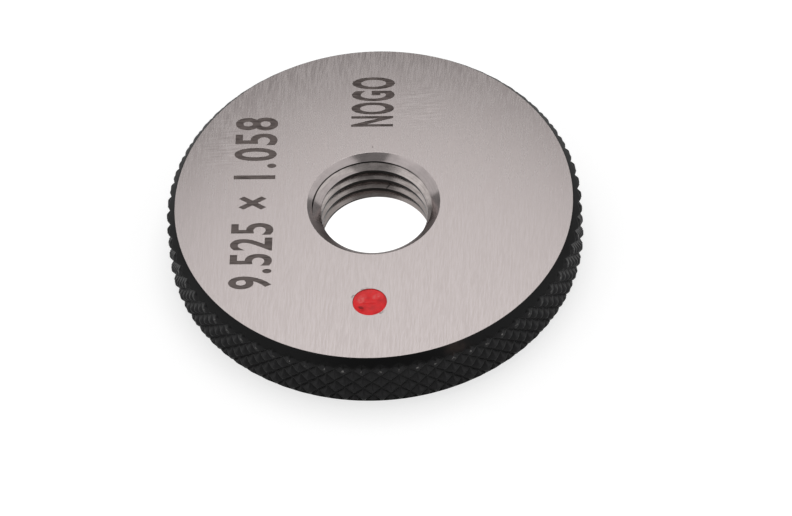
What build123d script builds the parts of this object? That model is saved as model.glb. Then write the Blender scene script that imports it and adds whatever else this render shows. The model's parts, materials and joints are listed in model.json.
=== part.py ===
from build123d import *
import os
from math import cos, pi, radians, sin, tan

# A NO GO thread ring gauge: a flat hardened disc with a diamond-knurled rim, a chamfered bore and a
# painted colour mark. Millimetres and degrees. The origin is the centre of the bottom face, and
# +Z runs along the bore axis. The colour mark lies towards -Y.

# Ring blank
outer_diameter = 32.0  # over the knurl's crests
thickness = 5.2
shoulder_width = 0.65  # radial width of the sloped shoulder between face and knurl
shoulder_height = 0.8

# Bore
crest_diameter = 8.26  # over the crests of the 24 tpi thread that gauges a 3/8 inch screw
mouth_width = 0.985  # radial width of the chamfer at each end
mouth_angle = 45.0  # from the bore axis

# Diamond knurl
knurl_pitch = 1.015  # from groove to groove, square across them
helix_angle = 45.0  # from the bore axis
groove_angle = 90.0  # between a groove's two flanks
groove_depth = 0.4
groove_overshoot = 0.3  # how far a groove's cutter stands out of the rim
crest_bearing = -91.7  # direction of one diamond's tip on the middle row, from +X

# Colour mark
mark_diameter = 2.65
mark_distance = 9.83  # from the bore axis
recess_depth = 0.25
paint_thickness = 0.2

outer_radius = outer_diameter / 2
face_radius = outer_radius - shoulder_width
crest_radius = crest_diameter / 2
mouth_radius = crest_radius + mouth_width
mouth_depth = mouth_width / tan(radians(mouth_angle))

# Helical grooves of each hand that fit round the rim, and the angle between two of them
groove_count = round(pi * outer_diameter * cos(radians(helix_angle)) / knurl_pitch)
groove_step = 360 / groove_count
recess_floor = thickness - recess_depth


def groove_cutter(hand):
    """A straight V-shaped bar that lies across the rim's middle at +X, leaning to one hand."""
    lean = hand * radians(helix_angle)
    half_length = thickness / 2 / cos(radians(helix_angle))
    half_mouth = (groove_depth + groove_overshoot) * tan(radians(groove_angle / 2))
    across = Plane(
        origin=(outer_radius, 0, thickness / 2),
        x_dir=(1, 0, 0),
        z_dir=(0, sin(lean), cos(lean)),
    )
    with BuildPart() as cutter:
        with BuildSketch(across):
            with BuildLine():
                Polyline(
                    (-groove_depth, 0),
                    (groove_overshoot, -half_mouth),
                    (groove_overshoot, half_mouth),
                    close=True,
                )
            make_face()
        extrude(amount=half_length, both=True)
    return cutter.part


left_cutter = groove_cutter(-1)
right_cutter = groove_cutter(1)

# The ring, turned from its half section, then knurled and recessed
with BuildPart() as ring_body:
    with BuildSketch(Plane.XZ):
        with BuildLine():
            Polyline(
                (mouth_radius, 0),
                (face_radius, 0),
                (outer_radius, shoulder_height),
                (outer_radius, thickness - shoulder_height),
                (face_radius, thickness),
                (mouth_radius, thickness),
                (crest_radius, thickness - mouth_depth),
                (crest_radius, mouth_depth),
                close=True,
            )
        make_face()
    revolve(axis=Axis.Z)
    with PolarLocations(0, groove_count, start_angle=crest_bearing + groove_step / 2):
        add(left_cutter, mode=Mode.SUBTRACT)
        add(right_cutter, mode=Mode.SUBTRACT)
    with Locations((0, -mark_distance, recess_floor)):
        Cylinder(
            mark_diameter / 2,
            recess_depth,
            align=(Align.CENTER, Align.CENTER, Align.MIN),
            mode=Mode.SUBTRACT,
        )

# The paint that fills the recess to just under the face
with BuildPart(Plane.XY.offset(recess_floor)) as red_paint_dot:
    with Locations((0, -mark_distance)):
        Cylinder(
            mark_diameter / 2,
            paint_thickness,
            align=(Align.CENTER, Align.CENTER, Align.MIN),
        )

ring_body.part.label = "ring_body"
red_paint_dot.part.label = "red_paint_dot"

os.makedirs("parts", exist_ok=True)
export_step(ring_body.part, "parts/ring_body.step")
export_step(red_paint_dot.part, "parts/red_paint_dot.step")
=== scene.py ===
import json
import math

import bmesh
import bpy
from mathutils import Matrix, Vector


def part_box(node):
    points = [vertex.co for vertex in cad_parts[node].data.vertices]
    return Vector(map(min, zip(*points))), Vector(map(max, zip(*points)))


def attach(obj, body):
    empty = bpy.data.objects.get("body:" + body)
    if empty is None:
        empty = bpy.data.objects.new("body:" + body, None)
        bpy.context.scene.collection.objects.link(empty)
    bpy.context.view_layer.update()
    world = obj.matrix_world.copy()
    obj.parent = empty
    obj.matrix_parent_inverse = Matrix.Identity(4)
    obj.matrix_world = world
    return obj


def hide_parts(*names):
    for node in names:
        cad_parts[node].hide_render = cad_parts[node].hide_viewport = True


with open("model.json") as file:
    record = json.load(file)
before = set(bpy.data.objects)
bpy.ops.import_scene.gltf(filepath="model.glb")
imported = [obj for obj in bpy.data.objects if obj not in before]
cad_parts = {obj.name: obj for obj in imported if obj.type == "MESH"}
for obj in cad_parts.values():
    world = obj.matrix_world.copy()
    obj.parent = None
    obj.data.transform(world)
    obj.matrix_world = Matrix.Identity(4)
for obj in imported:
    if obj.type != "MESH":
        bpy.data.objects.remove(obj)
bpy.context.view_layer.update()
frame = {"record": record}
mm = 0.001

# The ring's own sizes come from the frame
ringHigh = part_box("ring_body")[1]
markLow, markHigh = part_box("red_paint_dot")
boreMount = next(m for m in frame["record"]["mounts"] if m["name"] == "threaded_bore")
outerRadius = ringHigh.x
thickness = ringHigh.z
crestRadius = boreMount["dims"]["r_mm"] * mm
mouthDepth = (thickness - boreMount["dims"]["length_mm"] * mm) / 2
mouthRadius = crestRadius + mouthDepth


# Sockets as Python values

spotEdge = (0.4, 1.2)  # of a spot's half size, where it starts to fade and where it ends
noiseRoughness = 0.6  # strength of the finer grains


class Wire:
    def __init__(self, tree, socket=None):
        self.tree = tree
        self.socket = socket

    def node(self, kind, settings=None, inputs=None, output=0):
        made = self.tree.nodes.new("ShaderNode" + kind)
        for name, value in (settings or {}).items():
            setattr(made, name, value)
        for name, value in (inputs or {}).items():
            if isinstance(value, Wire):
                self.tree.links.new(value.socket, made.inputs[name])
            else:
                made.inputs[name].default_value = value
        return Wire(self.tree, made.outputs[output])

    def math(self, operation, *values):
        return self.node("Math", {"operation": operation}, dict(enumerate(values)))

    def __add__(self, other):
        return self.math("ADD", self, other)

    def __radd__(self, other):
        return self.math("ADD", other, self)

    def __sub__(self, other):
        return self.math("SUBTRACT", self, other)

    def __rsub__(self, other):
        return self.math("SUBTRACT", other, self)

    def __mul__(self, other):
        return self.math("MULTIPLY", self, other)

    def __rmul__(self, other):
        return self.math("MULTIPLY", other, self)

    def __truediv__(self, other):
        return self.math("DIVIDE", self, other)

    def between(self, low, high):  # 0 below low, 1 above high, smooth in between
        inputs = {"Value": self, "From Min": low, "From Max": high}
        return self.node("MapRange", {"interpolation_type": "SMOOTHSTEP"}, inputs)

    def grained(self, sizes, lean=0.0, detail=3.0):  # noise whose grains have these sizes
        inputs = {"Vector": self, "Scale": sizes, "Rotation": (0, 0, lean)}
        place = self.node("Mapping", {"vector_type": "TEXTURE"}, inputs)
        inputs = {"Vector": place, "Scale": 1.0, "Detail": detail, "Roughness": noiseRoughness}
        return place.node("TexNoise", None, inputs)

    def mottled(self, size, detail=3.0):  # noise with round grains
        return self.grained((size,) * 3, 0.0, detail)

    def bumped(self, strength, depth):  # a normal, with this value as the height
        return self.node("Bump", None, {"Strength": strength, "Distance": depth, "Height": self})

    def blend(self, low, high):  # a colour from low to high as this value goes from 0 to 1
        inputs = {0: self, 6: low, 7: high}
        return self.node("Mix", {"data_type": "RGBA"}, inputs, 2)

    def fromAxis(self):  # distance of this place from the bore axis
        flat = self.node("VectorMath", {"operation": "MULTIPLY"}, {0: self, 1: (1, 1, 0)})
        return flat.node("VectorMath", {"operation": "LENGTH"}, {0: flat}, 1)

    def along(self, axis):  # this place's X, Y or Z
        return self.node("SeparateXYZ", None, {0: self}, "XYZ".index(axis))

    def spot(self, middle, sizes, lean=0.0):  # 1 in a soft spot of these half sizes, 0 outside it
        inputs = {"Vector": self, "Location": middle, "Scale": sizes, "Rotation": (0, 0, lean)}
        place = self.node("Mapping", {"vector_type": "TEXTURE"}, inputs)
        away = place.node("VectorMath", {"operation": "LENGTH"}, {0: place}, 1)
        return 1 - away.between(*spotEdge)


def startMaterial(name):
    material = bpy.data.materials.new(name)
    material.use_nodes = True
    tree = material.node_tree
    tree.nodes.clear()
    return material, Wire(tree)


def finishMaterial(wire, shader):
    output = wire.tree.nodes.new("ShaderNodeOutputMaterial")
    wire.tree.links.new(shader.socket, output.inputs["Surface"])


def colour(red, green, blue):
    return (red, green, blue, 1)


faceSteelSettings = {
    "dark": colour(0.500, 0.447, 0.438),
    "light": colour(0.580, 0.523, 0.514),
    "roughness": (0.19, 0.07),  # least, and how much the grain adds
    "grain": [  # grinding lines: width, length, lean and share of each set
        (0.09 * mm, 1.6 * mm, 0.04, 0.38),
        (0.15 * mm, 2.8 * mm, -0.07, 0.20),
        (0.50 * mm, 7.0 * mm, 0.0, 0.09),
        (0.07 * mm, 1.0 * mm, -0.14, 0.33),
    ],
    "grainDetail": 2.0,
    "grainRange": (0.36, 0.64),
    "bump": (0.3, 0.004 * mm),  # strength and depth
    "strength": (1.3, 2.2),  # of the lines, at the front and at the back of the face
    "strengthFrom": (-2 * mm, 9 * mm),
    "scratched": [  # patches with lines across the grain: middle, half sizes
        ((3.3 * mm, 9.7 * mm, thickness), (2.4 * mm, 2.8 * mm, mm)),
        ((-11.9 * mm, 6.0 * mm, thickness), (1.9 * mm, 3.2 * mm, mm)),
    ],
    "scratchSize": (1.5 * mm, 0.07 * mm, 0.07 * mm),
    "scratchLean": 0.08,
    "scratchAndHighlightTones": [  # colour, range of the lines from none of it to the most, and the most; the light tone is a painted highlight along the scratches, the dark tone the scratches themselves
        (colour(0.74, 0.68, 0.67), (0.50, 0.68), 0.38),
        (colour(0.33, 0.29, 0.28), (0.50, 0.32), 0.30),
    ],
    "smudges": [  # beside the colour mark and above the bore: middle, half sizes, lean
        ((-1.30 * mm, -9.28 * mm, thickness), (0.13 * mm, 0.26 * mm, mm), -0.6),
        ((-0.48 * mm, -8.55 * mm, thickness), (0.40 * mm, 0.09 * mm, mm), 0.35),
        ((0.94 * mm, -10.86 * mm, thickness), (0.30 * mm, 0.14 * mm, mm), 0.6),
        ((-0.25 * mm, 5.64 * mm, thickness), (0.07 * mm, 0.11 * mm, mm), 0.0),
    ],
    "smudgeGrain": (0.15 * mm, (0.35, 0.6), 0.65),  # size, range and share
    "specks": (0.13 * mm, (0.80, 0.84), 0.5),
    "grimeAndShade": colour(0.13, 0.11, 0.105),
}


def groundFaceSteel():
    settings = faceSteelSettings
    material, start = startMaterial("groundFaceSteel")
    place = start.node("TexCoord", output=3)
    grain = 0.0
    for width, length, lean, share in settings["grain"]:
        grain = place.grained((width, length, width), lean, settings["grainDetail"]) * share + grain
    atFront, atBack = settings["strength"]
    strength = place.along("Y").between(*settings["strengthFrom"]) * (atBack - atFront) + atFront
    tone = 0.5 + (grain.between(*settings["grainRange"]) - 0.5) * strength
    base = tone.blend(settings["dark"], settings["light"])
    lines = place.grained(settings["scratchSize"], settings["scratchLean"], 1.0)
    for middle, sizes in settings["scratched"]:
        patch = place.spot(middle, sizes)
        # scratch lines, their light tone a painted highlight
        for tint, limits, most in settings["scratchAndHighlightTones"]:
            base = (patch * lines.between(*limits) * most).blend(base, tint)
    size, limits, most = settings["smudgeGrain"]
    uneven = place.mottled(size).between(*limits)
    for middle, sizes, lean in settings["smudges"]:
        base = (place.spot(middle, sizes, lean) * uneven * most).blend(base, settings["grimeAndShade"])
    size, limits, most = settings["specks"]
    base = (place.mottled(size, 1.0).between(*limits) * most).blend(base, settings["grimeAndShade"])
    least, added = settings["roughness"]
    shader = start.node("BsdfPrincipled", None, {
        "Base Color": base,
        "Metallic": 1.0,
        "Roughness": least + added * tone,
        "Normal": grain.bumped(*settings["bump"]),
    })
    finishMaterial(start, shader)
    return material


boreSteelSettings = {
    "dark": colour(0.49, 0.437, 0.43),
    "light": colour(0.60, 0.538, 0.53),
    "paintedCrestShade": colour(0.012, 0.010, 0.009),  # painted shade: near black on the narrow flats, which see only the bore
    "roughness": (0.12, 0.1),
    "worn": 0.2,  # added to the roughness where screws are started, towards the colour mark
    "wornFrom": (-2.0 * mm, -0.4 * mm),
    "turningWidth": 0.07 * mm,
    "mottleSize": 1.1 * mm,
    "shares": (0.4, 0.6),  # of the turning lines and the mottle
    "toneRange": (0.32, 0.68),
    "crestWidth": 0.02 * mm,
    "bump": (0.2, 0.003 * mm),
}


def lappedBoreSteel():
    settings = boreSteelSettings
    material, start = startMaterial("lappedBoreSteel")
    place = start.node("TexCoord", output=3)
    across = place.fromAxis()
    width = settings["turningWidth"]
    rings = start.node("CombineXYZ", None, {0: across / width, 1: place.along("Z") / width})
    turning = rings.grained((1, 1, 1))
    mottle = place.mottled(settings["mottleSize"])
    ofTurning, ofMottle = settings["shares"]
    tone = (turning * ofTurning + mottle * ofMottle).between(*settings["toneRange"])
    base = tone.blend(settings["dark"], settings["light"])
    # painted shade: the narrow crest flats are coloured near black
    base = across.between(crestRadius, crestRadius + settings["crestWidth"]).blend(settings["paintedCrestShade"], base)
    least, added = settings["roughness"]
    worn = 1 - place.along("Y").between(*settings["wornFrom"])
    shader = start.node("BsdfPrincipled", None, {
        "Base Color": base,
        "Metallic": 1.0,
        "Roughness": least + added * mottle + settings["worn"] * worn,
        "Normal": turning.bumped(*settings["bump"]),
    })
    finishMaterial(start, shader)
    return material


threadSteelSettings = {
    "dark": colour(0.345, 0.307, 0.293),
    "light": colour(0.68, 0.615, 0.595),
    # painted shade in the grooves' roots, and the colour of the nick
    "grimeAndShade": colour(0.010, 0.0085, 0.0075),
    "lapWidth": 0.08 * mm,
    "mottleSizes": (0.9 * mm, 0.9 * mm, 0.3 * mm),
    "shares": (0.6, 0.4, 0.32),  # of the mottle and the lapping lines, less painted shade deeper in the bore
    "toneRange": (0.18, 0.64),
    "rootShadeReach": (0.30 * mm, 0.13 * mm),  # painted shade reaching out of the grooves' roots, low in the bore and at its mouth
    "rootShadeUneven": 0.05 * mm,
    "rootShadeFull": 0.55,  # of its reach
    "mouthHeights": (thickness - 1.2 * mm, thickness - 0.5 * mm),
    "nick": (0.86 * mm, 4.22 * mm, 2.14 * mm),
    "nickSize": (0.05 * mm, 0.34 * mm, 0.40 * mm),
    "nickLean": -0.85,
    "roughness": (0.14, 0.12),
}


def cutThreadSteel():
    settings = threadSteelSettings
    material, start = startMaterial("cutThreadSteel")
    place = start.node("TexCoord", output=3)
    across = place.fromAxis()
    height = place.along("Z")
    mottle = place.grained(settings["mottleSizes"])
    width = settings["lapWidth"]
    lapped = start.node("CombineXYZ", None, {0: across / width, 1: height / width}).grained((1, 1, 1))
    # painted shade: the thread's tone gets darker deeper in the bore
    deep = 1 - height.between(0, thickness)
    ofMottle, ofLapping, ofDepthShade = settings["shares"]
    tone = mottle * ofMottle + lapped * ofLapping - deep * ofDepthShade
    clean = tone.between(*settings["toneRange"]).blend(settings["dark"], settings["light"])
    # painted shade: darker towards the grooves' roots
    lowReach, mouthReach = settings["rootShadeReach"]
    reach = lowReach - height.between(*settings["mouthHeights"]) * (lowReach - mouthReach)
    fromRoot = threadSettings["rootRadius"] - across + (mottle - 0.5) * settings["rootShadeUneven"]
    grimeAndShade = 1 - fromRoot.between(reach * settings["rootShadeFull"], reach)
    nick = place.spot(settings["nick"], settings["nickSize"], settings["nickLean"])
    base = grimeAndShade.math("MAXIMUM", grimeAndShade, nick).blend(clean, settings["grimeAndShade"])
    least, added = settings["roughness"]
    shader = start.node("BsdfPrincipled", None, {
        "Base Color": base,
        "Metallic": 1.0,
        "Roughness": least + added * mottle,
    })
    finishMaterial(start, shader)
    return material


rimSettings = {
    "oxide": colour(0.0022, 0.0022, 0.0024),
    "rubbed": colour(0.031, 0.0305, 0.0315),  # on the knurl, which hands have rubbed
    "rubbedShare": 0.42,
    "metalAtRidge": (0.55, 0.45),  # share in the grooves, and how much the ridges add
    "tintAtRidge": (0.75, 0.45),
    "speckleSize": 0.19 * mm,
    "mottleSize": 1.4 * mm,
    "knurlHeights": (0.72 * mm, 0.82 * mm),  # above the lower face and below the upper one
    "bright": colour(0.32, 0.31, 0.30),  # at the tips beside the top shoulder
    "tipDepth": 0.045 * mm,
    "tipSpeckle": (0.45, 0.6),
    "tipRow": (thickness - 1.15 * mm, thickness - 0.95 * mm),
    "stain": ((6.9 * mm, -14.1 * mm, thickness - 0.5 * mm), (1.3 * mm, 0.9 * mm, 0.9 * mm)),
    "stainMottle": (0.3, 0.6),
    "stained": colour(0.024, 0.0165, 0.0145),
    "chips": [
        (-9.63 * mm, -12.62 * mm, thickness - 0.1 * mm),
        (13.0 * mm, -8.53 * mm, thickness - 0.1 * mm),
    ],
    "chipSize": 0.09 * mm,
    "roughness": (0.28, 0.14),
    "ior": 1.3,
    "bump": (0.3, 0.006 * mm),
}


def blackOxideRim():
    settings = rimSettings
    material, start = startMaterial("blackOxideRim")
    place = start.node("TexCoord", output=3)
    across = place.fromAxis()
    height = place.along("Z")
    speckle = place.mottled(settings["speckleSize"])
    mottle = place.mottled(settings["mottleSize"])
    low, high = settings["knurlHeights"]
    inKnurl = height.between(low, high) * (1 - height.between(thickness - high, thickness - low))
    ridge = across.between(outerRadius - ringSettings["grooveDepth"], outerRadius)
    inGroove, onRidge = settings["metalAtRidge"]
    rubbed = inKnurl * (inGroove + onRidge * ridge) * settings["rubbedShare"]
    tip = across.between(outerRadius - settings["tipDepth"], outerRadius)
    bright = tip * speckle.between(*settings["tipSpeckle"]) * height.between(*settings["tipRow"])
    for chip in settings["chips"]:
        bright = bright.math("MAXIMUM", bright, place.spot(chip, (settings["chipSize"],) * 3))
    inGroove, onRidge = settings["tintAtRidge"]
    base = (inKnurl * (inGroove + onRidge * ridge)).blend(settings["oxide"], settings["rubbed"])
    stain = place.spot(*settings["stain"]) * mottle.between(*settings["stainMottle"]) * (1 - inKnurl)
    base = stain.blend(base, settings["stained"])
    base = bright.blend(base, settings["bright"])
    least, added = settings["roughness"]
    shader = start.node("BsdfPrincipled", None, {
        "Base Color": base,
        "Metallic": rubbed.math("MAXIMUM", rubbed, bright),
        "Roughness": least + added * mottle,
        "IOR": settings["ior"],
        "Normal": speckle.bumped(*settings["bump"]),
    })
    finishMaterial(start, shader)
    return material


markSettings = {
    "dark": colour(0.055, 0.041, 0.037),
    "light": colour(0.135, 0.108, 0.101),
    "hatchWidth": 0.12 * mm,
    "hatchLength": 0.96 * mm,
    "mottleSize": 0.7 * mm,
    "shares": (0.7, 0.3, 0.09),  # of the hatching, the mottle and the pale side
    "toneRange": (0.38, 0.66),
    "metallic": 0.2,
    "roughness": (0.45, 0.2),
    "bump": (0.3, 0.004 * mm),
    "paleEdge": (-4 * mm, -8 * mm),  # the long text came out paler than the short one
}


def laserMark():
    settings = markSettings
    material, start = startMaterial("laserMark")
    place = start.node("TexCoord", output=3)
    width = settings["hatchWidth"]
    hatch = place.grained((settings["hatchLength"], width, width), 0.0, 1.0)
    mottle = place.mottled(settings["mottleSize"])
    pale = place.along("X").between(*settings["paleEdge"])
    ofHatch, ofMottle, ofPale = settings["shares"]
    tone = hatch * ofHatch + mottle * ofMottle + pale * ofPale
    base = tone.between(*settings["toneRange"]).blend(settings["dark"], settings["light"])
    least, added = settings["roughness"]
    shader = start.node("BsdfPrincipled", None, {
        "Base Color": base,
        "Metallic": settings["metallic"],
        "Roughness": least + added * mottle,
        "Normal": hatch.bumped(*settings["bump"]),
    })
    finishMaterial(start, shader)
    return material


enamelSettings = {
    "deep": colour(0.60, 0.006, 0.010),
    "plain": colour(0.80, 0.016, 0.020),
    "paintedSheen": colour(0.80, 0.16, 0.155),  # painted sheen: a paler red where the enamel's gloss catches the light
    # painted shade in the paint's pit
    "paintedPitShade": colour(0.27, 0.001, 0.003),
    "pale": [  # painted sheen spots: middle from the mark's own, half sizes, lean
        ((-0.62 * mm, 0.36 * mm, 0), (0.30 * mm, 0.55 * mm, mm), -0.5),
        ((0.50 * mm, 0.62 * mm, 0), (0.42 * mm, 0.26 * mm, mm), 0.6),
    ],
    "mottle": (0.9 * mm, (0.30, 0.55)),  # size and range
    "sheenSpeckle": (0.22 * mm, (0.3, 0.7)),
    "sheenShare": 0.8,
    "roughness": (0.3, 0.15, 0.15),  # least, and what the mottle and the pit add
    "ior": 1.4,
    "crescent": ((-0.67 * mm, -0.48 * mm, 0), (0.27 * mm, 0.15 * mm, mm), -0.35),
}


def redEnamel():
    settings = enamelSettings
    material, start = startMaterial("redEnamel")
    place = start.node("TexCoord", output=3)
    size, limits = settings["mottle"]
    mottle = place.mottled(size)
    base = mottle.between(*limits).blend(settings["deep"], settings["plain"])
    middle = (markLow + markHigh) / 2
    # painted sheen: paler spots standing in for the enamel's highlights
    paintedSheen = 0.0
    for offset, sizes, lean in settings["pale"]:
        paintedSheen = place.spot(middle + Vector(offset), sizes, lean) + paintedSheen
    size, limits = settings["sheenSpeckle"]
    speckle = place.mottled(size).between(*limits)
    base = (paintedSheen * speckle * settings["sheenShare"]).blend(base, settings["paintedSheen"])
    # painted shade: a dark crescent on the pit's wall
    offset, sizes, lean = settings["crescent"]
    paintedPitShade = place.spot(middle + Vector(offset), sizes, lean)
    base = paintedPitShade.blend(base, settings["paintedPitShade"])
    least, ofMottle, ofPit = settings["roughness"]
    shader = start.node("BsdfPrincipled", None, {
        "Base Color": base,
        "Metallic": 0.0,
        "Roughness": least + ofMottle * mottle + ofPit * paintedPitShade,
        "IOR": settings["ior"],
    })
    finishMaterial(start, shader)
    return material


# Shapes

def objectFrom(bm, name, materials):
    mesh = bpy.data.meshes.new(name)
    bm.to_mesh(mesh)
    bm.free()
    for material in materials:
        mesh.materials.append(material)
    piece = bpy.data.objects.new(name, mesh)
    bpy.context.scene.collection.objects.link(piece)
    return piece


def closedProfile(bm, points):  # points are (radius, height) pairs in the XZ plane
    verts = [bm.verts.new((radius, 0, height)) for radius, height in points]
    edges = [bm.edges.new((verts[i - 1], verts[i])) for i in range(len(verts))]
    return verts, edges


def edgeBetween(verts, edges, first, second):
    return next(e for e in edges if verts[first] in e.verts and verts[second] in e.verts)


ringSettings = {
    "shoulderWidth": 0.65 * mm,
    "shoulderHeight": 0.8 * mm,
    "edgeRound": 0.014 * mm,  # on the four edges of the ground faces
    "roundSegments": 2,
    "roundInBlack": 0.4,  # share of that rounding, on the outside, that is black like the rim
    "rimInset": 0.01 * mm,  # the knurl may cut from this far outside a face's edge
    "heightError": 1e-7,  # within these a vertex counts as lying on a face's edge
    "radiusError": 1e-6,
    "longestEdge": 0.2 * mm,  # edges round the ring are shorter, and edges across a face longer
    "flatNormal": 0.99999,  # the Z of a ground face's normal is at least this
    "grooves": 70,  # of each hand
    "stepsPerGroove": 12,
    "grooveDepth": 0.4 * mm,
    "crestBearing": math.radians(-91.7),  # of one diamond's tip on the middle row
    "sharpAngle": math.radians(38),
    "sharpKnurlAngle": math.radians(75),  # above a diamond's own, so that its ridges look rolled
}


def aroundRim(point, bearing):  # distance round the rim from the tip that stands at that bearing
    angle = math.atan2(point.y, point.x) - bearing
    return outerRadius * ((angle + math.pi) % math.tau - math.pi)


def grooveRadii(along, height):
    # radius of the left-hand and the right-hand grooves' flanks at a place on the rim
    pitch = math.tau * outerRadius / ringSettings["grooves"] / math.sqrt(2)
    floor = math.hypot(outerRadius - ringSettings["grooveDepth"], height)
    radii = []
    for hand in (-1, 1):
        across = (along + hand * height) / math.sqrt(2)
        fromLand = abs((across + pitch / 2) % pitch - pitch / 2)
        radii.append(floor + pitch / 2 - fromLand)
    return radii


def ringBlank():
    faceRadius = outerRadius - ringSettings["shoulderWidth"]
    steps = ringSettings["grooves"] * ringSettings["stepsPerGroove"]
    row = math.tau * outerRadius / steps  # the rim's rows are as far apart as its columns
    middle = thickness / 2
    bandRows = round((middle - ringSettings["shoulderHeight"]) / row)
    lastRow = math.floor(middle / row) - 1
    slope = ringSettings["shoulderWidth"] / ringSettings["shoulderHeight"]
    lastRadius = outerRadius - (lastRow - bandRows) * row * slope
    bm = bmesh.new()
    points = [
        (mouthRadius, thickness),
        (faceRadius, thickness),
        (lastRadius, middle + lastRow * row),
        (outerRadius, middle + bandRows * row),
        (outerRadius, middle - bandRows * row),
        (lastRadius, middle - lastRow * row),
        (faceRadius, 0),
        (mouthRadius, 0),
        (crestRadius, mouthDepth),
        (crestRadius, thickness - mouthDepth),
    ]
    verts, edges = closedProfile(bm, points)
    shoulders = [edgeBetween(verts, edges, 2, 3), edgeBetween(verts, edges, 4, 5)]
    band = edgeBetween(verts, edges, 3, 4)
    bmesh.ops.subdivide_edges(bm, edges=shoulders, cuts=lastRow - bandRows - 1)
    bmesh.ops.subdivide_edges(bm, edges=[band], cuts=2 * bandRows - 1)
    turnToStart = Matrix.Rotation(ringSettings["crestBearing"], 3, "Z")
    bmesh.ops.rotate(bm, verts=bm.verts, cent=(0, 0, 0), matrix=turnToStart)
    bmesh.ops.spin(
        bm, geom=bm.verts[:] + bm.edges[:], cent=(0, 0, 0), axis=(0, 0, 1),
        angle=math.tau, steps=steps, use_merge=True,
    )
    bmesh.ops.recalc_face_normals(bm, faces=bm.faces)
    return bm


def foldPlace(v, bearing, along, hand):  # how far a corner lies along a cell's own flank
    step = (aroundRim(v.co, bearing) - along + math.pi * outerRadius) % (math.tau * outerRadius)
    return step + hand * v.co.z


def cutKnurl(bm):
    bearing = ringSettings["crestBearing"]
    middle = thickness / 2
    rimRadius = outerRadius - ringSettings["shoulderWidth"] + ringSettings["rimInset"]
    rim = [v for v in bm.verts if math.hypot(v.co.x, v.co.y) > rimRadius]
    inRim = set(rim)
    quads = [f for f in bm.faces if all(v in inRim for v in f.verts)]
    for face in quads:
        centre = face.calc_center_median()
        along = aroundRim(centre, bearing)
        left, right = grooveRadii(along, centre.z - middle)
        hand = -1 if left < right else 1
        ordered = sorted(face.verts, key=lambda v: foldPlace(v, bearing, along, hand))
        bmesh.utils.face_split(face, ordered[1], ordered[2])
    for v in rim:
        radius = math.hypot(v.co.x, v.co.y)
        cut = min(grooveRadii(aroundRim(v.co, bearing), v.co.z - middle))
        if cut < radius:
            v.co.x *= cut / radius
            v.co.y *= cut / radius
    print("knurl cut:", len(quads), "cells")


def softenFaceEdges(bm):
    faceRadius = outerRadius - ringSettings["shoulderWidth"]

    def onEdge(v):
        radius = math.hypot(v.co.x, v.co.y)
        fromFace = min(abs(v.co.z), abs(v.co.z - thickness))
        fromEdge = min(abs(radius - faceRadius), abs(radius - mouthRadius))
        return fromFace < ringSettings["heightError"] and fromEdge < ringSettings["radiusError"]

    edges = [e for e in bm.edges if onEdge(e.verts[0]) and onEdge(e.verts[1])]
    edges = [e for e in edges if e.calc_length() < ringSettings["longestEdge"]]
    bmesh.ops.bevel(
        bm, geom=edges, offset=ringSettings["edgeRound"], offset_type="OFFSET",
        segments=ringSettings["roundSegments"], profile=0.5, affect="EDGES", material=-1,
    )


def colourByPlace(bm, slots):
    faceRadius = outerRadius - ringSettings["shoulderWidth"]
    blackRadius = faceRadius - ringSettings["edgeRound"] * ringSettings["roundInBlack"]
    for face in bm.faces:
        centre = face.calc_center_median()
        radius = math.hypot(centre.x, centre.y)
        if radius > blackRadius:
            face.material_index = slots["rim"]
        elif radius < mouthRadius:
            face.material_index = slots["bore"]
        else:
            face.material_index = slots["ground"]


threadSettings = {
    "pitch": 25.4 / 24 * mm,
    "crestFlat": 0.268 * mm,
    "rootRadius": 4.78 * mm,
    "halfAngle": math.radians(30),
    "overshoot": 0.2 * mm,  # how far the cutter reaches in past the crests
    "startBearing": math.radians(95.1),
    "startDepth": 0.597 * mm,  # of a groove's middle below the face, at that bearing
    "turnsBelow": 5,
    "turns": 7,
    "stepsPerTurn": 144,
}


def threadCutter(materialIndex):
    pitch = threadSettings["pitch"]
    slope = math.tan(threadSettings["halfAngle"])
    halfAtCrest = (pitch - threadSettings["crestFlat"]) / 2
    halfAtRoot = halfAtCrest - (threadSettings["rootRadius"] - crestRadius) * slope
    halfInside = halfAtCrest + threadSettings["overshoot"] * slope
    inside = crestRadius - threadSettings["overshoot"]
    middle = thickness - threadSettings["startDepth"] - threadSettings["turnsBelow"] * pitch
    bm = bmesh.new()
    closedProfile(bm, [
        (inside, middle - halfInside),
        (threadSettings["rootRadius"], middle - halfAtRoot),
        (threadSettings["rootRadius"], middle + halfAtRoot),
        (inside, middle + halfInside),
    ])
    turnToStart = Matrix.Rotation(threadSettings["startBearing"], 3, "Z")
    bmesh.ops.rotate(bm, verts=bm.verts, cent=(0, 0, 0), matrix=turnToStart)
    perTurn = threadSettings["stepsPerTurn"]
    bmesh.ops.spin(
        bm, geom=bm.verts[:] + bm.edges[:], cent=(0, 0, 0), axis=(0, 0, 1),
        dvec=(0, 0, pitch / perTurn), angle=math.tau * threadSettings["turns"],
        steps=perTurn * threadSettings["turns"],
    )
    bmesh.ops.holes_fill(bm, edges=[e for e in bm.edges if e.is_boundary], sides=4)
    bmesh.ops.recalc_face_normals(bm, faces=bm.faces)
    for face in bm.faces:
        face.material_index = materialIndex
        face.smooth = True
    return bm


recessSettings = {
    "overFace": 0.3 * mm,
    "segments": 96,
}


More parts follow.
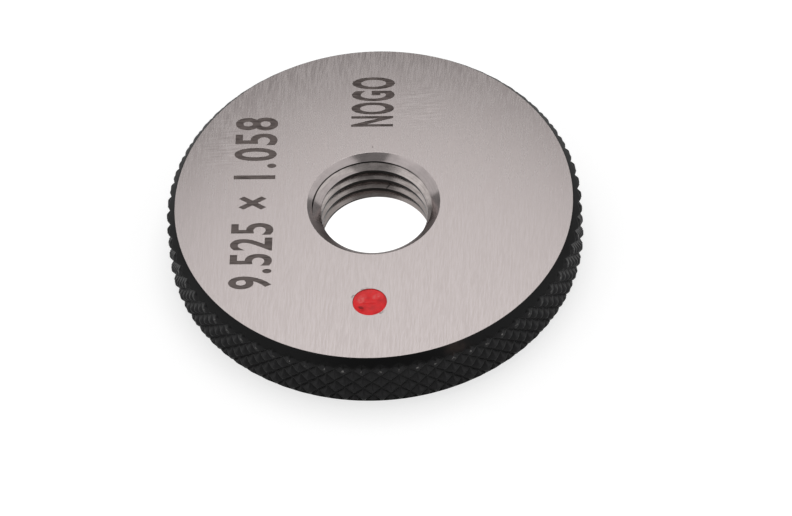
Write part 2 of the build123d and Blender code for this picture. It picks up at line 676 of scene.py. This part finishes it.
def recessCutter(materialIndex):
    centre = (markLow + markHigh) / 2
    radius = (markHigh.x - markLow.x) / 2
    top = thickness + recessSettings["overFace"]
    bm = bmesh.new()
    bmesh.ops.create_cone(
        bm, cap_ends=True, segments=recessSettings["segments"], radius1=radius, radius2=radius,
        depth=top - markLow.z,
    )
    bmesh.ops.translate(bm, verts=bm.verts, vec=(centre.x, centre.y, (top + markLow.z) / 2))
    for face in bm.faces:
        face.material_index = materialIndex
    return bm


letterSettings = {
    "depth": 0.02 * mm,
    "height": 3.33 * mm,
    "resolution": 5,
    "spacing": 1.12,
    "extrude": 0.5,
    "weld": 1e-5,
    "overFace": 0.1 * mm,  # how far the cutter stands out of the face
    "marks": [  # each outset thickens the outlines, for letters of size 1
        {"text": "9.525 × 1.058", "baseline": -7.6 * mm, "start": -8.5 * mm, "length": 17.2 * mm,
         "outset": 0.02},
        {"text": "NOGO", "baseline": 1.3 * mm, "start": 7.7 * mm, "length": 5.0 * mm,
         "outset": 0.034},
    ],
}


def letterCutter(mark, materialIndex):
    curve = bpy.data.curves.new("letters", "FONT")
    curve.body = mark["text"]
    curve.size = 1.0
    curve.extrude = letterSettings["extrude"]
    curve.offset = mark["outset"]
    curve.space_character = letterSettings["spacing"]
    curve.resolution_u = letterSettings["resolution"]
    holder = bpy.data.objects.new("letters", curve)
    bpy.context.scene.collection.objects.link(holder)
    bpy.context.view_layer.update()
    mesh = bpy.data.meshes.new_from_object(holder.evaluated_get(bpy.context.evaluated_depsgraph_get()))
    bm = bmesh.new()
    bm.from_mesh(mesh)
    bpy.data.objects.remove(holder)
    bpy.data.meshes.remove(mesh)
    bmesh.ops.remove_doubles(bm, verts=bm.verts, dist=letterSettings["weld"])
    bmesh.ops.recalc_face_normals(bm, faces=bm.faces)
    low = [min(v.co[i] for v in bm.verts) for i in range(3)]
    high = [max(v.co[i] for v in bm.verts) for i in range(3)]
    scale = (
        mark["length"] / (high[0] - low[0]),
        letterSettings["height"] / (high[1] - low[1]),
        (letterSettings["depth"] + letterSettings["overFace"]) / (high[2] - low[2]),
    )
    bmesh.ops.translate(bm, verts=bm.verts, vec=[-n for n in low])
    bmesh.ops.scale(bm, verts=bm.verts, vec=scale)
    bmesh.ops.rotate(bm, verts=bm.verts, cent=(0, 0, 0), matrix=Matrix.Rotation(math.pi / 2, 3, "Z"))
    place = (mark["baseline"], mark["start"], thickness - letterSettings["depth"])
    bmesh.ops.translate(bm, verts=bm.verts, vec=place)
    for face in bm.faces:
        face.material_index = materialIndex
    return bm


def joined(parts):
    whole = bmesh.new()
    for part in parts:
        mesh = bpy.data.meshes.new("part")
        part.to_mesh(mesh)
        part.free()
        whole.from_mesh(mesh)
        bpy.data.meshes.remove(mesh)
    return whole


def combine(piece, other, operation):
    combining = piece.modifiers.new("combine", "BOOLEAN")
    combining.operation = operation
    combining.solver = "EXACT"
    combining.object = other
    bpy.context.view_layer.update()
    whole = piece.evaluated_get(bpy.context.evaluated_depsgraph_get())
    mesh = bpy.data.meshes.new_from_object(whole)
    piece.modifiers.clear()
    old = piece.data
    piece.data = mesh
    bpy.data.meshes.remove(old)
    bpy.data.objects.remove(other)


def sharpenEdges(mesh, rimIndex):
    bm = bmesh.new()
    bm.from_mesh(mesh)
    for face in bm.faces:
        face.smooth = True
    for edge in bm.edges:
        flat = [abs(f.normal.z) > ringSettings["flatNormal"] for f in edge.link_faces]
        inKnurl = all(f.material_index == rimIndex for f in edge.link_faces)
        limit = ringSettings["sharpKnurlAngle"] if inKnurl else ringSettings["sharpAngle"]
        edge.smooth = edge.calc_face_angle(0) < limit and all(flat) == any(flat)
    bm.to_mesh(mesh)
    bm.free()


def makeRing(materials):
    slots = {name: index for index, name in enumerate(materials)}
    bm = ringBlank()
    print("ring turned:", len(bm.faces), "faces")
    cutKnurl(bm)
    softenFaceEdges(bm)
    colourByPlace(bm, slots)
    ring = objectFrom(bm, "threadedRing", materials.values())
    cutters = [threadCutter(slots["thread"]), recessCutter(slots["bore"])]
    cutters += [letterCutter(mark, slots["mark"]) for mark in letterSettings["marks"]]
    combine(ring, objectFrom(joined(cutters), "cutter", materials.values()), "DIFFERENCE")
    sharpenEdges(ring.data, slots["rim"])
    print("ring cut:", len(ring.data.polygons), "faces")
    return ring


paintSettings = {
    "gap": 0.01 * mm,  # between the paint's edge and the recess
    "unevenness": 0.018 * mm,  # of the paint's edge
    "waves": [(3, 0.7, 1.0), (5, 2.1, 0.6)],  # round the edge: how many, phase and share
    "waveOffset": -0.8,
    "waveSpan": 2.4,
    "wallShare": 0.8,  # height of the paint's side before its top is shaped
    "topShare": 0.5,  # what lies above this share of the depth is shaped
    "segments": 96,
    "rings": 26,
    "lump": 0.0175 * mm,
    "lumpTurns": (2600, 3100),  # radians a metre along X and Y
    "lumpPhases": (1.0, 0.4),
    "lumpFade": 4,  # powers of the distance from the mark's middle
    "edgeRise": 6,
    "edgeLevel": (0.80, 0.97),  # of the paint's depth, in the middle and at the edge
    "pitPlace": (-0.66 * mm, -0.62 * mm),  # from the mark's middle
    "pitRadius": 0.28 * mm,
    "pitDepth": 0.05 * mm,
    "pitFalloff": 1.5,
    "creaseFrom": (-0.85 * mm, -0.02 * mm),
    "creaseTo": (0.4 * mm, 0.0 * mm),
    "creaseDepth": 0.018 * mm,
    "creaseWidth": 0.07 * mm,
}


def makePaint(material):
    centre = (markLow + markHigh) / 2
    radius = (markHigh.x - markLow.x) / 2 - paintSettings["gap"]
    bm = bmesh.new()
    depth = markHigh.z - markLow.z
    points = [(0, 0), (radius, 0), (radius, depth * paintSettings["wallShare"]), (0, depth)]
    verts = [bm.verts.new((across, 0, height)) for across, height in points]
    edges = [bm.edges.new(ends) for ends in zip(verts, verts[1:])]
    bmesh.ops.subdivide_edges(bm, edges=[edges[-1]], cuts=paintSettings["rings"])
    bmesh.ops.spin(
        bm, geom=bm.verts[:] + bm.edges[:], cent=(0, 0, 0), axis=(0, 0, 1),
        angle=math.tau, steps=paintSettings["segments"], use_merge=True,
    )
    bmesh.ops.remove_doubles(bm, verts=bm.verts, dist=1e-7)
    bmesh.ops.recalc_face_normals(bm, faces=bm.faces)
    creaseFrom = Vector(paintSettings["creaseFrom"])
    creaseTo = Vector(paintSettings["creaseTo"])
    crease = creaseTo - creaseFrom
    for v in bm.verts:
        flat = Vector((v.co.x, v.co.y))
        angle = math.atan2(flat.y, flat.x)
        share = flat.length / radius
        wave = sum(most * math.sin(n * angle + phase) for n, phase, most in paintSettings["waves"])
        wave = (wave + paintSettings["waveOffset"]) / paintSettings["waveSpan"]
        flat *= 1 + wave * paintSettings["unevenness"] / radius * share
        v.co.x, v.co.y = flat
        if v.co.z < depth * paintSettings["topShare"]:
            continue
        # a meniscus that stands up to the recess wall, lumps, one pit and a faint crease
        inMiddle, atEdge = paintSettings["edgeLevel"]
        level = depth * (inMiddle + (atEdge - inMiddle) * share ** paintSettings["edgeRise"])
        turnX, turnY = paintSettings["lumpTurns"]
        phaseX, phaseY = paintSettings["lumpPhases"]
        lump = math.sin(flat.x * turnX + phaseX) * math.cos(flat.y * turnY + phaseY)
        level += paintSettings["lump"] * lump * (1 - share ** paintSettings["lumpFade"])
        away = (flat - Vector(paintSettings["pitPlace"])).length / paintSettings["pitRadius"]
        level -= paintSettings["pitDepth"] * math.exp(-away * away * paintSettings["pitFalloff"])
        t = max(0.0, min(1.0, (flat - creaseFrom).dot(crease) / crease.length_squared))
        off = (flat - creaseFrom - crease * t).length / paintSettings["creaseWidth"]
        level -= paintSettings["creaseDepth"] * math.exp(-off * off)
        v.co.z = min(level, depth)
    bmesh.ops.translate(bm, verts=bm.verts, vec=(centre.x, centre.y, markLow.z))
    for face in bm.faces:
        face.smooth = True
    return objectFrom(bm, "redPaint", [material])


# Stage, lights and camera

cameraSettings = {
    "lens": 545.5,
    "sensor": 36.0,
    "aim": (1.886 * mm, -5.501 * mm, thickness),
    "distance": 919.58 * mm,
    "bearing": math.radians(-85.04),  # of the camera from the aim, from +X
    "elevation": math.radians(50.32),
    "roll": math.radians(-4.245),
    "clip": (0.05, 50),
}

stageSettings = {
    "floorSize": 6.0,
    "floorColour": colour(0.45, 0.45, 0.45),
    "nearGlow": 0.70,  # the floor's own white beside the ring, where its shadow shows
    "farGlow": 1.0,
    "nearRadius": 24 * mm,
    "farRadius": 44 * mm,
    "underRing": 0.8,  # of the ring's radius; the floor inside it shows through the bore
    "glowInMetal": (0.12, 0.6),  # how much of that white metal reflects, near and far; the low share near the ring is a painted shadow of the ring on the floor
    "metalRadii": (30 * mm, 150 * mm),
    # painted shadow: in the bore, metal sees the floor dimmer
    "glowInBore": 0.5,
    "worldLight": 0.21,
}

panelSettings = [  # millimetres, and how bright each would look
    {"name": "key", "shape": "ELLIPSE", "level": 0.70,
     "place": (-4, 35, 78), "aim": (-4, 35, 0), "size": (56, 79)},
    {"name": "overhead", "shape": "RECTANGLE", "level": 1.0,
     "place": (12, 34, 200), "aim": (12, 34, 0), "size": (120, 120)},
    {"name": "fill", "shape": "RECTANGLE", "level": 1.6, "inMetal": False,  # for matt surfaces only
     "place": (12, 34, 200), "aim": (12, 34, 0), "size": (120, 120)},
    {"name": "left", "shape": "RECTANGLE", "level": 0.47,
     "place": (-116, -71, 95), "aim": (0, -71, 0), "size": (310, 163)},
    {"name": "highLeft", "shape": "RECTANGLE", "level": 0.15,
     "place": (-80, -5, 127), "aim": (0, -5, 24), "size": (150, 84)},
    {"name": "right", "shape": "RECTANGLE", "level": 0.52,
     "place": (120, -30, 90), "aim": (0, -30, 0), "size": (260, 150)},
    {"name": "lowLeft", "shape": "RECTANGLE", "level": 0.75,
     "place": (-172, -40, 15), "aim": (0, -40, 15), "size": (130, 30)},
    {"name": "lowRight", "shape": "RECTANGLE", "level": 0.75,
     "place": (172, -40, 15), "aim": (0, -40, 15), "size": (130, 30)},
    {"name": "lowFront", "shape": "RECTANGLE", "level": 0.3,
     "place": (0, -190, 20), "aim": (0, 0, 20), "size": (500, 40)},
]


def makeFloor():
    bm = bmesh.new()
    half = stageSettings["floorSize"] / 2
    bmesh.ops.create_grid(bm, x_segments=1, y_segments=1, size=half)
    material, start = startMaterial("paleFloor")
    place = start.node("TexCoord", output=3)
    across = start.node("VectorMath", {"operation": "LENGTH"}, {0: place}, 1)
    outwards = across.between(stageSettings["nearRadius"], stageSettings["farRadius"])
    outside = across.between(outerRadius * stageSettings["underRing"], outerRadius)
    nearGlow = stageSettings["nearGlow"]
    glow = 1 + outside * (nearGlow - 1 + outwards * (stageSettings["farGlow"] - nearGlow))
    nearMetal, farMetal = stageSettings["glowInMetal"]
    # painted shadow: metal sees less glow near the ring and in the bore
    metalGlow = nearMetal + across.between(*stageSettings["metalRadii"]) * (farMetal - nearMetal)
    metalGlow = metalGlow + (1 - outside) * (stageSettings["glowInBore"] - nearMetal)
    byCamera = start.node("LightPath", output="Is Camera Ray")
    byMetal = start.node("LightPath", output="Is Glossy Ray")
    byMetal = byMetal + start.node("LightPath", output="Is Transmission Ray")
    matt = start.node("BsdfDiffuse", None, {"Color": stageSettings["floorColour"]})
    strength = glow * byCamera + metalGlow * byMetal
    light = start.node("Emission", None, {"Color": colour(1, 1, 1), "Strength": strength})
    both = start.node("AddShader", None, {0: matt, 1: light})
    finishMaterial(start, both)
    floor = objectFrom(bm, "paleFloor", [material])


def makeLights():
    world = bpy.data.worlds.new("softRoom")
    bpy.context.scene.world = world
    world.use_nodes = True
    background = world.node_tree.nodes["Background"]
    background.inputs["Color"].default_value = colour(1, 1, 1)
    background.inputs["Strength"].default_value = stageSettings["worldLight"]
    for panel in panelSettings:
        lamp = bpy.data.lights.new(panel["name"], "AREA")
        lamp.shape = panel["shape"]
        lamp.size = panel["size"][0] * mm
        lamp.size_y = panel["size"][1] * mm
        lamp.energy = panel["level"] * math.pi * lamp.size * lamp.size_y
        holder = bpy.data.objects.new(panel["name"], lamp)
        place = Vector(panel["place"]) * mm
        aim = Vector(panel["aim"]) * mm
        holder.location = place
        holder.rotation_euler = (place - aim).to_track_quat("Z", "Y").to_euler()
        holder.visible_camera = False
        holder.visible_glossy = panel.get("inMetal", True)
        bpy.context.scene.collection.objects.link(holder)


def makeCamera():
    camera = bpy.data.cameras.new("camera")
    camera.sensor_width = cameraSettings["sensor"]
    camera.lens = cameraSettings["lens"]
    camera.clip_start, camera.clip_end = cameraSettings["clip"]
    elevation = cameraSettings["elevation"]
    bearing = cameraSettings["bearing"]
    level = math.cos(elevation)
    back = Vector((level * math.cos(bearing), level * math.sin(bearing), math.sin(elevation)))
    turn = back.to_track_quat("Z", "Y").to_matrix() @ Matrix.Rotation(cameraSettings["roll"], 3, "Z")
    holder = bpy.data.objects.new("camera", camera)
    place = Vector(cameraSettings["aim"]) + back * cameraSettings["distance"]
    holder.matrix_world = Matrix.Translation(place) @ turn.to_4x4()
    bpy.context.scene.collection.objects.link(holder)
    bpy.context.scene.camera = holder


ring = makeRing({
    "ground": groundFaceSteel(),
    "bore": lappedBoreSteel(),
    "rim": blackOxideRim(),
    "mark": laserMark(),
    "thread": cutThreadSteel(),
})
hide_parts("ring_body")
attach(ring, "root")

paint = makePaint(redEnamel())
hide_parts("red_paint_dot")
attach(paint, "root")
print("paint made")

makeFloor()
makeLights()
makeCamera()
print("stage, lights and camera made")
bpy.context.scene.view_settings.view_transform = "Standard"
